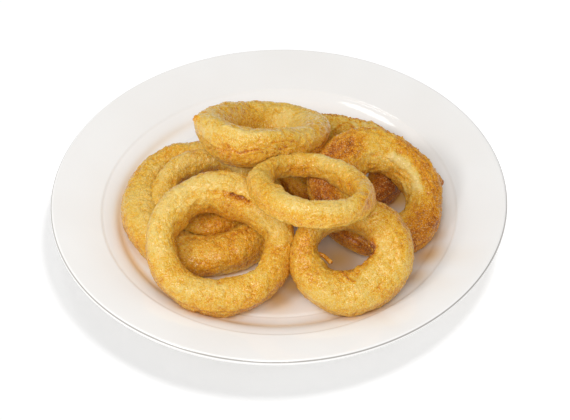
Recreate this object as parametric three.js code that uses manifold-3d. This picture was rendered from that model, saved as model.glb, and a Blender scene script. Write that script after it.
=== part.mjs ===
// A side of eight battered onion rings, piled on a wide-rimmed round plate.
//
// Millimetres, +Z up. The origin is the middle of the plate's foot, at the height of the table.
// The plate is turned on its axis, so it is one lathe. Every ring is a torus that one function
// reshapes, tilted and set down where it rests. Where a ring lies on the plate or on another
// ring, its soft crust is pressed in, with a hair's breadth left between the two.

import * as THREE from 'three';
import { mergeVertices } from 'three/addons/utils/BufferGeometryUtils.js';
import Module from 'manifold-3d';

const wasm = await Module();
wasm.setup();

// ---------------------------------------------------------------- the plate's driving sizes

const PLATE_RADIUS = 120;
const PLATE_HEIGHT = 22.5;
const PLATE_STEPS = 60;         // faces around the plate
const CURVE_STEPS = 4;          // faces along each curve of its profile
const FLOOR_RADIUS = 78;        // the flat middle, where the food lies
const FLOOR_TOP = 7;
const COVE_RADIUS = 92;         // where the cove that rises from the floor meets the rim
const COVE_TOP = 12.5;
const COVE_MIDDLE = 8.7;        // height of the cove halfway up its width
const COVE_BEND = [88, 11];     // radius and height that its upper half bends towards
const UNDER_BEND = [87, 3.4];   // the same for the underside of the cove
const FLOOR_EASE = 3;           // how far past the floor's edge the cove starts to rise
const RIM_EASE = 2;             // how far past the cove the rim runs straight, on top
const UNDER_EASE = 3;           // and underneath
const WALL = 4.2;               // thickness of the rim and the cove
const LIP_HALF = 1.7;           // half the thickness of the rounded lip
const FOOT_OUTER = 72;
const FOOT_INNER = 67;
const FOOT_HEIGHT = 2.4;        // how far the middle of the underside stands off the table
const FOOT_SLANT = 1;           // how much wider the foot is at its root, on either side

// ---------------------------------------------------------------- the rings' driving sizes

const RING_STEPS = 40;          // faces along a ring
const STRAND_SIDES = 12;        // faces around its strand
const TOUCH_GAP = 0.3;          // left between two pieces that touch

// rests: the rings that this one presses on. at: its middle. lean: degrees from level, with its
// upper face turned towards the compass angle facing (0 is +X, 90 is +Y). radius: from its middle
// to the middle of the strand. width and height: half the strand's. square: 2 is a round strand,
// more is flatter on top and at the sides. flare: how much the ring widens for each millimetre
// of height. oval: how much longer than round it is, along the angle ovalTurn. heavy: how much
// thicker its strand is, on the side heavySide.
// bumps: [angle along the ring, angle around the strand, reach, height], where the angle around
// the strand is 0 outside, 90 on top and 180 in the hole.
// crumbs: [first angle along the ring, last one, angle around the strand, how many].
const RINGS = [
  {
    name: 'ring_left_outer', rests: [],
    at: [-39.2, -5.3, 16.3], lean: 1.5, facing: -80,
    radius: 35.6, width: 9.5, height: 9.5, square: 2.3, flare: -0.1,
    oval: 0.055, ovalTurn: 112, heavy: 0.13, heavySide: -95, seed: 1,
    bumps: [[117, 60, 6, 1.1], [250, 60, 6, -0.8]],
    crumbs: [],
  },
  {
    name: 'ring_back_right', rests: ['ring_left_outer'],
    at: [33.6, 24.8, 15.6], lean: 1, facing: -70,
    radius: 27.1, width: 8.5, height: 8.7, square: 2.3, flare: 0,
    oval: 0.04, ovalTurn: -40, heavy: 0, heavySide: 0, seed: 2,
    bumps: [
      [81, 120, 5, 2], [63, 120, 4, -1.6], [45, 90, 6, 1.4], [54, 30, 4, 1],
      [335, 150, 9, 3.2], [105, 60, 8, 1.8],
    ],
    crumbs: [],
  },
  {
    name: 'ring_left_inner', rests: ['ring_left_outer'],
    at: [-37.6, -3.2, 21.6], lean: 13, facing: -85,
    radius: 23, width: 6.2, height: 6.8, square: 2.2, flare: 0,
    oval: 0.07, ovalTurn: 30, heavy: 0, heavySide: 0, seed: 3,
    bumps: [[45, 90, 5, 2.4], [27, 120, 4, 1.8], [272, 150, 12, 4.2]],
    crumbs: [],
  },
  {
    name: 'ring_front_left', rests: ['ring_left_outer', 'ring_left_inner'],
    at: [-29.8, -46.4, 29.9], lean: 29, facing: -90,
    radius: 29.7, width: 7.7, height: 9.4, square: 2.3, flare: -0.02,
    oval: 0.02, ovalTurn: -15, heavy: 0.1, heavySide: -90, seed: 4,
    bumps: [
      [150, 210, 9, 3], [117, 210, 9, 4], [90, 225, 10, 7], [63, 215, 10, 8], [36, 210, 9, 5],
      [63, 150, 5, -2.2], [18, 200, 6, 2], [320, 165, 7, -1.8], [118, 55, 12, -1.2],
    ],
    crumbs: [[5, 20, 150, 3]],
  },
  {
    name: 'ring_right', rests: ['ring_back_right'],
    at: [51.2, -9.8, 27.3], lean: 24, facing: -58,
    radius: 25.1, width: 10.9, height: 9.9, square: 2.3, flare: 0.07,
    oval: 0.05, ovalTurn: -35, heavy: 0.1, heavySide: 200, seed: 5,
    bumps: [[18, 0, 3.5, 2.2], [54, 30, 8, -1.2]],
    crumbs: [[45, 110, 35, 8]],
  },
  {
    name: 'ring_front_right', rests: ['ring_right', 'ring_front_left'],
    at: [34.1, -56.6, 30.1], lean: 34.5, facing: -95,
    radius: 20.8, width: 9.1, height: 10.7, square: 2.3, flare: 0,
    oval: 0.06, ovalTurn: 9, heavy: 0.27, heavySide: -46, seed: 6,
    bumps: [[0, 180, 5, -1.5], [18, 150, 4, 1.5], [300, 165, 5, 1.2], [200, 170, 5, 0.8]],
    crumbs: [[2, 20, 150, 3]],
  },
  {
    name: 'ring_front_top', rests: ['ring_front_left', 'ring_front_right', 'ring_right'],
    at: [16.2, -38, 57], lean: 17.9, facing: 80,
    radius: 26.5, width: 5.6, height: 6.7, square: 2.2, flare: -0.1,
    oval: 0.12, ovalTurn: -57, heavy: 0.06, heavySide: 200, seed: 7,
    bumps: [[150, 210, 7, 1.5], [199, 110, 5, -1.2]],
    crumbs: [],
  },
  {
    name: 'ring_top',
    rests: ['ring_back_right', 'ring_right', 'ring_left_outer', 'ring_left_inner',
      'ring_front_left', 'ring_front_top'],
    at: [-7.2, 16.6, 44.3], lean: 27, facing: 72,
    radius: 24.6, width: 9.3, height: 11.6, square: 2.15, flare: 0.3,
    oval: 0.14, ovalTurn: 48, heavy: 0, heavySide: 0, seed: 8,
    bumps: [[189, 30, 4, 1.6], [99, 60, 8, 1.4], [252, -30, 6, 1.2], [216, -30, 5, -1]],
    crumbs: [],
  },
];

// The crumbs of batter that stick up from a crust: radius, how much of it is sunk, how far they
// stray around the strand in degrees and along it in steps, and how much their sizes differ.
const CRUMB = {
  radius: 1.1, sunk: 0.25, stray: 14, strayAlong: 0.3, differ: 0.25, long: 1.3, flat: 0.8,
};
const SCATTER_TURN = 12.9;      // radians from one draw of the scatter to the next

// A curl of fried batter that hangs out from the wall of one ring's hole.
const SCRAP = {
  ring: 'ring_front_right', along: 178, around: 180, radius: 1.1, length: 7, turn: 50,
  capSteps: 2, sides: 6,
};

// The uneven crust is a sum of slow waves: [height, turns along the ring, turns around the
// strand, shift from ring to ring].
const WAVES = [[0.45, 2, 0, 1], [0.35, 3, 1, 2.1], [0.3, 5, -2, 3.7]];

// ---------------------------------------------------------------- helpers

const radians = (degrees) => (degrees * Math.PI) / 180;

function solidOf(geometry) {
  const bare = geometry.clone();
  bare.deleteAttribute('normal');
  bare.deleteAttribute('uv');
  const merged = mergeVertices(bare);
  return new wasm.Manifold(new wasm.Mesh({
    numProp: 3,
    vertProperties: new Float32Array(merged.attributes.position.array),
    triVerts: new Uint32Array(merged.index.array),
  }));
}

function geometryOf(solid) {
  const mesh = solid.getMesh();
  const geometry = new THREE.BufferGeometry();
  geometry.setAttribute('position', new THREE.BufferAttribute(mesh.vertProperties, 3));
  geometry.setIndex(new THREE.BufferAttribute(mesh.triVerts, 1));
  geometry.computeVertexNormals();
  return geometry;
}

// ---------------------------------------------------------------- the plate

function plateGeometry() {
  const lipMiddle = PLATE_HEIGHT - LIP_HALF;
  const rimRadius = PLATE_RADIUS - LIP_HALF;
  const profile = new THREE.Path();
  profile.moveTo(0, FOOT_HEIGHT);
  profile.lineTo(FOOT_INNER - FOOT_SLANT, FOOT_HEIGHT);
  profile.lineTo(FOOT_INNER, 0);
  profile.lineTo(FOOT_OUTER, 0);
  profile.lineTo(FOOT_OUTER + FOOT_SLANT, FOOT_HEIGHT);
  const [bendRadius, bendHeight] = UNDER_BEND;
  profile.quadraticCurveTo(bendRadius, bendHeight, COVE_RADIUS + UNDER_EASE, COVE_TOP - WALL);
  profile.lineTo(rimRadius, lipMiddle - LIP_HALF);
  profile.absarc(rimRadius, lipMiddle, LIP_HALF, -Math.PI / 2, Math.PI / 2, false);
  profile.lineTo(COVE_RADIUS + RIM_EASE, COVE_TOP);
  const [upperRadius, upperHeight] = COVE_BEND;
  const halfway = (COVE_RADIUS + FLOOR_RADIUS) / 2;
  profile.quadraticCurveTo(upperRadius, upperHeight, halfway, COVE_MIDDLE);
  profile.quadraticCurveTo(FLOOR_RADIUS + FLOOR_EASE, FLOOR_TOP, FLOOR_RADIUS, FLOOR_TOP);
  profile.lineTo(0, FLOOR_TOP);
  const lathe = new THREE.LatheGeometry(profile.getPoints(CURVE_STEPS), PLATE_STEPS);
  return lathe.rotateX(Math.PI / 2);
}

// ---------------------------------------------------------------- the rings

function unevenness(ring, along, around) {
  let total = 0;
  for (const [height, turnsAlong, turnsAround, shift] of WAVES) {
    total += height * Math.sin(turnsAlong * along + turnsAround * around + shift * ring.seed);
  }
  return total;
}

function wrapped(angle) {
  return Math.atan2(Math.sin(angle), Math.cos(angle));
}

function bumpHeight(ring, along, around) {
  let total = 0;
  for (const [atAlong, atAround, reach, height] of ring.bumps) {
    const distanceAlong = wrapped(along - radians(atAlong)) * ring.radius;
    const distanceAround = wrapped(around - radians(atAround)) * ring.width;
    const squared = (distanceAlong ** 2 + distanceAround ** 2) / (reach * reach);
    total += height * Math.exp(-squared);
  }
  return total;
}

// A point of the crust, in the ring's own frame, with the ring's axis along Z.
function crustPoint(ring, along, around, swell) {
  const cosine = Math.cos(around);
  const sine = Math.sin(around);
  const squared = Math.abs(cosine) ** ring.square + Math.abs(sine) ** ring.square;
  const section = squared ** (-1 / ring.square);
  const relief = unevenness(ring, along, around) + bumpHeight(ring, along, around) + swell;
  const thick = 1 + ring.heavy * Math.cos(along - radians(ring.heavySide));
  const out = (ring.width * thick * section + relief) * cosine;
  const up = (ring.height * section + relief) * sine;
  const stretch = 1 + ring.oval * Math.cos(2 * (along - radians(ring.ovalTurn)));
  const reach = ring.radius * stretch + out + ring.flare * up;
  return new THREE.Vector3(reach * Math.cos(along), reach * Math.sin(along), up);
}

function ringGeometry(ring, swell) {
  const torus = new THREE.TorusGeometry(ring.radius, ring.width, STRAND_SIDES, RING_STEPS);
  for (let side = 0; side <= STRAND_SIDES; side += 1) {
    for (let step = 0; step <= RING_STEPS; step += 1) {
      const around = ((side % STRAND_SIDES) / STRAND_SIDES) * 2 * Math.PI;
      const along = ((step % RING_STEPS) / RING_STEPS) * 2 * Math.PI;
      const point = crustPoint(ring, along, around, swell);
      torus.attributes.position.setXYZ(side * (RING_STEPS + 1) + step, point.x, point.y, point.z);
    }
  }
  return torus;
}

// Crumbs sit in the crust at uneven steps and sizes, so each shows as a low rough grain.
function crumbGeometries(ring) {
  const crumbs = [];
  for (const [first, last, around, count] of ring.crumbs) {
    for (let index = 0; index < count; index += 1) {
      const scatter = Math.sin(SCATTER_TURN * index + ring.seed);
      const step = (index + CRUMB.strayAlong * scatter) / (count - 1);
      const along = radians(first + (last - first) * step);
      const side = radians(around + CRUMB.stray * scatter);
      const point = crustPoint(ring, along, side, -CRUMB.sunk * CRUMB.radius);
      const crumb = new THREE.IcosahedronGeometry(CRUMB.radius * (1 + CRUMB.differ * scatter), 0);
      crumb.scale(CRUMB.long, 1, CRUMB.flat);
      crumb.rotateZ(index);
      crumbs.push(crumb.translate(point.x, point.y, point.z));
    }
  }
  return crumbs;
}

function scrapGeometry(ring) {
  const root = crustPoint(ring, radians(SCRAP.along), radians(SCRAP.around), 0);
  const scrap = new THREE.CapsuleGeometry(SCRAP.radius, SCRAP.length, SCRAP.capSteps, SCRAP.sides);
  scrap.translate(0, -SCRAP.length / 2, 0).rotateZ(radians(SCRAP.turn));
  return scrap.translate(root.x, root.y, root.z);
}

function ringPlace(ring) {
  const turn = radians(ring.facing);
  const hinge = new THREE.Vector3(-Math.sin(turn), Math.cos(turn), 0);
  const place = new THREE.Matrix4().makeRotationAxis(hinge, radians(ring.lean));
  return place.setPosition(...ring.at);
}

// ---------------------------------------------------------------- the whole side

const porcelain = { color: 0xf4f2ee, roughness: 0.15, metalness: 0 };
const batter = { color: 0xdda23a, roughness: 0.55, metalness: 0 };

const onionRings = new THREE.Group();
onionRings.name = 'onion_rings_side';

function addPiece(name, geometry, finish) {
  const piece = new THREE.Mesh(geometry, new THREE.MeshStandardMaterial(finish));
  piece.name = name;
  onionRings.add(piece);
}

const plate = plateGeometry();
addPiece('plate', plate, porcelain);

const plateBed = solidOf(plate.clone().translate(0, 0, TOUCH_GAP));
const beds = {};
for (const ring of RINGS) {
  const place = ringPlace(ring);
  let solid = solidOf(ringGeometry(ring, 0).applyMatrix4(place));
  for (const crumb of crumbGeometries(ring)) {
    solid = solid.add(solidOf(crumb.applyMatrix4(place)));
  }
  if (ring.name === SCRAP.ring) {
    solid = solid.add(solidOf(scrapGeometry(ring).applyMatrix4(place)));
  }
  solid = solid.subtract(plateBed);
  for (const under of ring.rests) {
    solid = solid.subtract(beds[under]);
  }
  beds[ring.name] = solidOf(ringGeometry(ring, TOUCH_GAP).applyMatrix4(place));
  addPiece(ring.name, geometryOf(solid), batter);
}

export default onionRings;
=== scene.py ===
# %% [markdown]
# # A side of onion rings on its plate
#
# Eight battered onion rings lie in a heap on a round white plate. The plate is thrown and glazed
# stoneware, so it is made by turning a profile. A fried ring is a loop of onion that has been
# dragged through batter: the strand is soft and swollen, and its crust is full of small blisters,
# folds and crumbs. Each ring is therefore made in two steps: first the smooth swollen loop with
# the folds that this one ring has, then the crust, which follows one rule on all of them.

import math

import bpy
import numpy as np
from mathutils import Matrix, Vector
from mathutils.kdtree import KDTree


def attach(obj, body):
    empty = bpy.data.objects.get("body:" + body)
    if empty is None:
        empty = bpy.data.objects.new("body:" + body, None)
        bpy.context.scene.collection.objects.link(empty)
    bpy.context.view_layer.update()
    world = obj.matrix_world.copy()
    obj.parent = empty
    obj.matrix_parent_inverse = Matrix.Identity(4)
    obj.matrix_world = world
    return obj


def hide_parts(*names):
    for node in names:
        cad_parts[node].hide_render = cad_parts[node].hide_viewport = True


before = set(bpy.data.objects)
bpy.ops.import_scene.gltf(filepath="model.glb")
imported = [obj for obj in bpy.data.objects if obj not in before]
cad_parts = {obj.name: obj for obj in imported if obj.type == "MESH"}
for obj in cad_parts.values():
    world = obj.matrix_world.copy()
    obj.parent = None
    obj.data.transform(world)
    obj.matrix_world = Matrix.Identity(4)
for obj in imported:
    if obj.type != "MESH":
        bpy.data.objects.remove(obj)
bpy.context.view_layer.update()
MM = 0.001
print("nodes:", sorted(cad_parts))

# %% [markdown]
# ## The plate's outline
#
# A plate is the same all the way round, so half of its section says everything: a flat middle,
# a short curved cove, a wide straight rim, a rounded lip and a foot ring to stand on. The curves
# are quadratic, as a turner's template would be drawn, with a point at each end and one that the
# curve leans towards. The rings need this outline too, because they are pressed onto it.

# %% The plate's sizes, in millimetres
PLATE_RADIUS = 120.0
PLATE_HEIGHT = 22.5
FLOOR_RADIUS = 78.0
FLOOR_TOP = 7.0
COVE_RADIUS = 92.0
COVE_TOP = 12.5
COVE_MIDDLE = 8.7
COVE_BEND = (88.0, 11.0)
UNDER_BEND = (87.0, 3.4)
FLOOR_EASE = 3.0
RIM_EASE = 2.0
UNDER_EASE = 3.0
WALL = 4.2
LIP_HALF = 1.7
FLOOR_STEP = 2.5
LINE_DEPTH = 0.3
LINE_HALF = 0.6
FOOT_OUTER = 72.0
FOOT_INNER = 67.0
FOOT_HEIGHT = 2.4
FOOT_SLANT = 1.0
print("plate:", 2 * PLATE_RADIUS, "mm across and", PLATE_HEIGHT, "mm high")


# %% The upper side's outline
def lean_curve(start, bend, end, steps=12):
    """Points of a quadratic curve, without its first one."""
    along = np.linspace(0, 1, steps + 1)[1:, None]
    start, bend, end = map(np.array, (start, bend, end))
    return (1 - along) ** 2 * start + 2 * along * (1 - along) * bend + along ** 2 * end


RIM_SLOPE = (PLATE_HEIGHT - COVE_TOP) / (PLATE_RADIUS - LIP_HALF - COVE_RADIUS - RIM_EASE)


def plate_top():
    """The upper side from the middle to the rim, as radius and height."""
    halfway = ((COVE_RADIUS + FLOOR_RADIUS) / 2, COVE_MIDDLE)
    floor_edge = (FLOOR_RADIUS, FLOOR_TOP)
    rim_start = (COVE_RADIUS + RIM_EASE, COVE_TOP)
    rim_end = (PLATE_RADIUS - LIP_HALF, PLATE_HEIGHT)
    floor = [(reach, FLOOR_TOP) for reach in np.arange(0, FLOOR_RADIUS - FLOOR_STEP, FLOOR_STEP)]
    drawn = [(FLOOR_RADIUS - 2 * LINE_HALF, FLOOR_TOP),
             (FLOOR_RADIUS - LINE_HALF, FLOOR_TOP - LINE_DEPTH)]
    bead = [(rim_start[0] + LINE_HALF, COVE_TOP + LINE_DEPTH + RIM_SLOPE * LINE_HALF),
            (rim_start[0] + 2 * LINE_HALF, COVE_TOP + RIM_SLOPE * 2 * LINE_HALF)]
    return np.vstack([
        floor,
        drawn,
        [floor_edge],
        lean_curve(floor_edge, (FLOOR_RADIUS + FLOOR_EASE, FLOOR_TOP), halfway),
        lean_curve(halfway, COVE_BEND, rim_start),
        bead,
        [rim_end],
    ])


TOP_LINE = plate_top()
print("plate section:", len(TOP_LINE), "points on top")

# %% [markdown]
# ## The rings' sizes
#
# Every ring is a torus with a squarish strand. Eight loops could be sculpted one by one, but a
# table keeps them easy to compare. It says where the ring's middle is, how far it leans and to
# which side, how large it is and how its strand is shaped. The radius is that of the strand's
# middle line, and width and height are half the strand's. Square is 2 for a round section and
# more for a squarer one. Flare widens the ring upwards, oval stretches it, and heavy makes one
# side thicker. Bumps are the few large swellings and dents: the angle along the ring, the angle
# around the strand (0 outside, 90 on top, 180 in the hole), how far they reach and how high they
# stand. Rests names the rings that it lies on, and seed shifts its waves and its crust.

# %% The rings
RINGS = {
    "ring_left_outer": dict(
        rests=[], at=(-39.2, -5.3, 16.3), lean=1.5, facing=-80,
        radius=35.6, width=9.5, height=9.5, square=2.3, flare=-0.1,
        oval=0.055, oval_turn=112, heavy=0.13, heavy_side=-95, seed=1,
        bumps=[(117, 60, 6, 1.1), (250, 60, 6, -0.8)]),
    "ring_back_right": dict(
        rests=["ring_left_outer"], at=(33.6, 24.8, 15.6), lean=1, facing=-70,
        radius=27.1, width=8.5, height=8.7, square=2.3, flare=0,
        oval=0.04, oval_turn=-40, heavy=0, heavy_side=0, seed=2,
        bumps=[(81, 120, 5, 2), (63, 120, 4, -1.6), (45, 90, 6, 1.4), (54, 30, 4, 1),
               (335, 150, 9, 3.2), (105, 60, 8, 1.8)]),
    "ring_left_inner": dict(
        rests=["ring_left_outer"], at=(-37.6, -3.2, 21.6), lean=13, facing=-85,
        radius=23, width=6.2, height=6.8, square=2.2, flare=0,
        oval=0.07, oval_turn=30, heavy=0, heavy_side=0, seed=3,
        bumps=[(45, 90, 5, 2.4), (27, 120, 4, 1.8), (272, 150, 12, 4.2)]),
    "ring_front_left": dict(
        rests=["ring_left_outer", "ring_left_inner"], at=(-29.8, -46.4, 29.9), lean=29, facing=-90,
        radius=29.7, width=7.7, height=9.4, square=2.3, flare=-0.02,
        oval=0.02, oval_turn=-15, heavy=0.1, heavy_side=-90, seed=4,
        bumps=[(150, 210, 9, 3), (117, 210, 9, 4), (90, 225, 10, 7), (63, 215, 10, 8),
               (36, 210, 9, 5), (63, 150, 5, -2.2), (18, 200, 6, 2), (320, 165, 7, -1.8),
               (118, 55, 12, -1.2)]),
    "ring_right": dict(
        rests=["ring_back_right"], at=(51.2, -9.8, 27.3), lean=24, facing=-58,
        radius=25.1, width=10.9, height=9.9, square=2.3, flare=0.07,
        oval=0.05, oval_turn=-35, heavy=0.1, heavy_side=200, seed=5,
        bumps=[(18, 0, 3.5, 2.2), (54, 30, 8, -1.2)]),
    "ring_front_right": dict(
        rests=["ring_right", "ring_front_left"], at=(34.1, -56.6, 30.1), lean=34.5, facing=-95,
        radius=20.8, width=9.1, height=10.7, square=2.3, flare=0,
        oval=0.06, oval_turn=9, heavy=0.27, heavy_side=-46, seed=6,
        bumps=[(0, 180, 5, -1.5), (18, 150, 4, 1.5), (300, 165, 5, 1.2), (200, 170, 5, 0.8)]),
    "ring_front_top": dict(
        rests=["ring_front_left", "ring_front_right", "ring_right"],
        at=(16.2, -38, 57), lean=17.9, facing=80,
        radius=26.5, width=5.6, height=6.7, square=2.2, flare=-0.1,
        oval=0.12, oval_turn=-57, heavy=0.06, heavy_side=200, seed=7,
        bumps=[(150, 210, 7, 1.5), (199, 110, 5, -1.2)]),
    "ring_top": dict(
        rests=["ring_back_right", "ring_right", "ring_left_outer", "ring_left_inner",
               "ring_front_left", "ring_front_top"],
        at=(-7.2, 16.6, 44.3), lean=27, facing=72,
        radius=24.6, width=9.3, height=11.6, square=2.15, flare=0.3,
        oval=0.14, oval_turn=48, heavy=0, heavy_side=0, seed=8,
        bumps=[(189, 30, 4, 1.6), (99, 60, 8, 1.4), (252, -30, 6, 1.2), (216, -30, 5, -1)]),
}
print(len(RINGS), "rings")

# %% [markdown]
# ## Folds and ledges
#
# Batter runs, wrinkles and tears before it sets, so each ring has a few marks of its own. They
# could be sculpted by hand, but a mark that has a name and a size can be moved and tried again.
# Each one is a line over the strand, given by pairs of angles, with a half width and a height in
# millimetres. A ridge is the same on both sides. A fold has a raised lip on the left of its line,
# seen from outside, and a crease on the right. The third kind only changes the colour: it is
# painted shade where it darkens a place and painted light where it pales one, with some browning.
# Browning and painted shade go with the others too: a fold's crease is painted darker, which is
# painted shade, and a ridge is darker along its line, partly browning of a thin edge and partly
# painted shade; below zero it is painted light that makes the place paler.

# %% Marks of each ring
# (kind, half width, height, browning and painted shade, [(along, around), ...])
MARKS = {
    "ring_top": [
        ("fold", 1.1, 0.8, 0.5, [(264, 14), (256, 6), (249, -4), (242, 0), (237, 14)]),
        ("fold", 1.1, 0.4, 0.15, [(236, -10), (228, -8), (221, -14)]),
        ("ridge", 1.6, -0.7, 0.2, [(226, 132), (240, 100), (252, 104)]),
        ("ridge", 1.8, 0.7, -0.2, [(232, 70), (246, 62), (262, 60), (280, 66)]),
        ("fold", 1.3, 0.6, 0.15, [(300, 2), (286, 10), (272, 20), (262, 24)]),
        ("ridge", 1.2, 1.3, 0.4, [(192, 33), (194, 38)]),
        ("shade_and_tan", 7, 0, -0.4, [(222, 30), (232, 26), (244, 30)]),
        ("shade_and_tan", 8, 0, 0.05, [(248, -38), (260, -15), (275, -5)]),
        ("shade_and_tan", 5, 0, -0.25, [(268, 10), (280, 12)]),
        ("shade_and_tan", 5, 0, 0.15, [(238, 30), (250, 24), (262, 28)]),
        ("fold", 1.2, 0.5, 0.35, [(300, 34), (286, 40), (274, 34)]),
        ("shade_and_tan", 7, 0, -0.2, [(285, 150), (300, 140), (320, 120)]),
        ("shade_and_tan", 7, 0, 0.05, [(160, 150), (138, 152), (112, 155)]),
        ("shade_and_tan", 7, 0, -0.3, [(65, 148), (50, 148), (35, 148)]),
        ("shade_and_tan", 8, 0, 0.25, [(350, 20), (10, 20), (30, 30)]),
    ],
    "ring_front_left": [
        ("fold", 2.6, 1.2, 0.1, [(12, 118), (25, 122), (38, 130), (50, 133), (74, 134),
                                 (90, 130), (104, 131), (119, 122), (130, 129)]),
        ("ridge", 0.7, -0.5, 0.2, [(104, 130), (90, 129), (74, 133)]),
        ("ridge", 0.7, -2.0, 0.6, [(75, 132), (66, 138), (50, 131)]),
        ("ridge", 3.2, 1.1, 0.0, [(97, 158), (81, 160), (62, 165), (33, 168), (14, 170)]),
        ("shade_and_tan", 7, 0, -0.15, [(200, 60), (140, 75), (90, 80), (60, 80)]),
        ("shade_and_tan", 8, 0, 0.1, [(300, 60), (350, 80)]),
        ("fold", 1.3, 0.5, 0.3, [(236, 24), (255, 20), (275, 22), (300, 18), (318, 28)]),
    ],
    "ring_right": [
        ("ridge", 2.8, 0.9, -0.65, [(70, 125), (50, 122), (25, 122), (5, 128)]),
        ("ridge", 1.2, 1.4, 0.4, [(15, 5), (17, 9)]),
        ("shade_and_tan", 9, 0, 0.55, [(160, 85), (130, 80)]),
        ("shade_and_tan", 7, 0, 0.65, [(200, 60), (190, 70), (185, 85)]),
        ("shade_and_tan", 10, 0, 0.62, [(285, 60), (310, 70), (325, 70)]),
        ("ridge", 3.5, 2.5, 0.0, [(136, 165), (120, 185)]),
        ("shade_and_tan", 9, 0, 0.42, [(55, 80), (35, 85), (10, 75)]),
        ("shade_and_tan", 6, 0, -0.2, [(80, 165), (50, 168), (10, 165)]),
        ("shade_and_tan", 3, 0, 0.1, [(100, 40), (60, 36), (20, 40)]),
        ("shade_and_tan", 7, 0, 0.45, [(235, 35), (255, 30)]),
    ],
    "ring_back_right": [
        ("fold", 1.2, 1.1, 0.5, [(96, 132), (86, 110), (78, 98), (70, 112)]),
        ("ridge", 1.1, 0.7, -0.4, [(72, 90), (64, 104), (58, 120)]),
        ("ridge", 1.0, 0.6, -0.3, [(60, 80), (54, 100), (50, 116)]),
        ("shade_and_tan", 12, 0, 0.8, [(330, 50), (300, 70), (265, 70)]),
        ("shade_and_tan", 10, 0, 0.2, [(250, 70), (225, 50)]),
    ],
    "ring_left_inner": [
        ("ridge", 1.2, 0.7, -0.3, [(70, 80), (62, 110), (50, 130)]),
        ("ridge", 1.0, -0.6, 0.3, [(60, 80), (52, 104), (42, 120)]),
        ("shade_and_tan", 8, 0, -0.15, [(110, 110), (85, 140), (65, 162), (40, 120)]),
        ("shade_and_tan", 10, 0, 0.25, [(240, 80), (262, 75), (290, 65)]),
    ],
    "ring_left_outer": [
        ("ridge", 1.4, -0.6, 0.3, [(296, 100), (310, 96), (324, 100)]),
        ("shade_and_tan", 5, 0, 0.15, [(80, 70), (120, 60), (160, 50)]),
        ("shade_and_tan", 8, 0, 0.15, [(270, 60), (290, 60), (310, 60)]),
    ],
    "ring_front_right": [
        ("ridge", 1.8, 0.9, 1.1, [(12, 148), (3, 152), (352, 158)]),
        ("ridge", 0.7, 0.45, 0.5, [(252, 142), (262, 130), (270, 116), (280, 108)]),
        ("shade_and_tan", 7, 0, 0.3, [(165, 90), (185, 90), (200, 90)]),
        ("shade_and_tan", 3, 0, 0.25, [(20, 150), (350, 155), (310, 160)]),
        ("shade_and_tan", 7, 0, 0.1, [(10, 70), (40, 65), (70, 65)]),
    ],
    "ring_front_top": [
        ("ridge", 1.4, -0.6, 0.3, [(214, 150), (230, 140), (244, 150)]),
        ("ridge", 1.4, 0.5, -0.1, [(244, 140), (258, 140), (272, 150)]),
        ("shade_and_tan", 6, 0, -0.15, [(230, 30), (260, 25), (300, 25)]),
        ("shade_and_tan", 6, 0, -0.2, [(40, 100), (70, 100)]),
        ("shade_and_tan", 6, 0, 0.2, [(325, 20), (350, 40)]),
    ],
}
print("marks:", {name: len(marks) for name, marks in MARKS.items()})


# %% What the marks do to the crust
EDGE_BROWNING_AND_SHADE = 0.25
CREASE_WIDTH = 0.45
CREASE_DEPTH = 1.4
CREASE_BEYOND = 0.4
FAR_OFF = 1000.0
TINY = 1e-9


def wrapped(angle):
    return np.arctan2(np.sin(angle), np.cos(angle))


def beside_path(ring, along, around, path):
    """Millimetres over the crust from each point to a line of angles, and on which side."""
    nearest = np.full(along.shape, FAR_OFF)
    side = np.zeros(along.shape)
    corners = np.radians(np.array(path, float))
    scale = np.array([ring["radius"], ring["width"]])
    for first, last in zip(corners[:-1], corners[1:]):
        leg = wrapped(last - first) * scale
        here = np.stack([wrapped(along - first[0]), wrapped(around - first[1])], -1) * scale
        share = np.clip((here @ leg) / max(leg @ leg, TINY), 0, 1)
        away = here - share[..., None] * leg
        distance = np.hypot(away[..., 0], away[..., 1])
        closer = distance < nearest
        nearest = np.where(closer, distance, nearest)
        turn = leg[0] * here[..., 1] - leg[1] * here[..., 0]
        side = np.where(closer, np.sign(turn), side)
    return nearest, side


def marks_relief(name, along, around):
    """Height in millimetres, and browning with painted shade and light, that the marks of one ring
    add.
    """
    ring = RINGS[name]
    height = np.zeros(along.shape)
    # The outer side and the hole side of the strand are darker: partly browning, partly painted
    # shade.
    brown_and_shade = EDGE_BROWNING_AND_SHADE * np.cos(around) ** 4
    for kind, half_width, rise, tone, path in MARKS[name]:
        distance, side = beside_path(ring, along, around, path)
        hump = np.exp(-(distance / half_width) ** 2)
        if kind == "fold":
            crease = np.exp(-(distance / (CREASE_WIDTH * half_width)) ** 2)
            height += rise * np.where(side > 0, hump - CREASE_DEPTH * crease,
                                      -CREASE_BEYOND * crease)
            # The crease of a fold is painted darker: painted shade in the crease.
            brown_and_shade += tone * crease
        else:
            height += rise * hump
            brown_and_shade += tone * hump
    return height, brown_and_shade


print("a crease is", CREASE_WIDTH, "times as wide as the lip beside it")

# %% [markdown]
# ## Crumbs
#
# Drops of batter that float in the oil fry onto the rings as crumbs, mostly along a fold or an
# edge. They are strewn later by the crust's node tree, which only needs to know how many belong
# where. Painting that by hand would do, but a line and a half width are easier to read.

# %% Where crumbs cling: half width, crumbs to the square metre, and the line
CRUMBS = {
    "ring_right": [(2.0, 3.5e5, [(110, 40), (80, 36), (45, 32), (20, 20)])],
    "ring_back_right": [(1.6, 3.5e5, [(104, 60), (84, 70), (64, 64), (44, 50)])],
    "ring_front_right": [(1.6, 3.0e5, [(18, 152), (2, 152)])],
    "ring_front_left": [(1.4, 2.0e5, [(20, 150), (5, 150)])],
    "ring_top": [(2.0, 1.2e5, [(272, 8), (290, 4), (306, 0)])],
}


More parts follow.
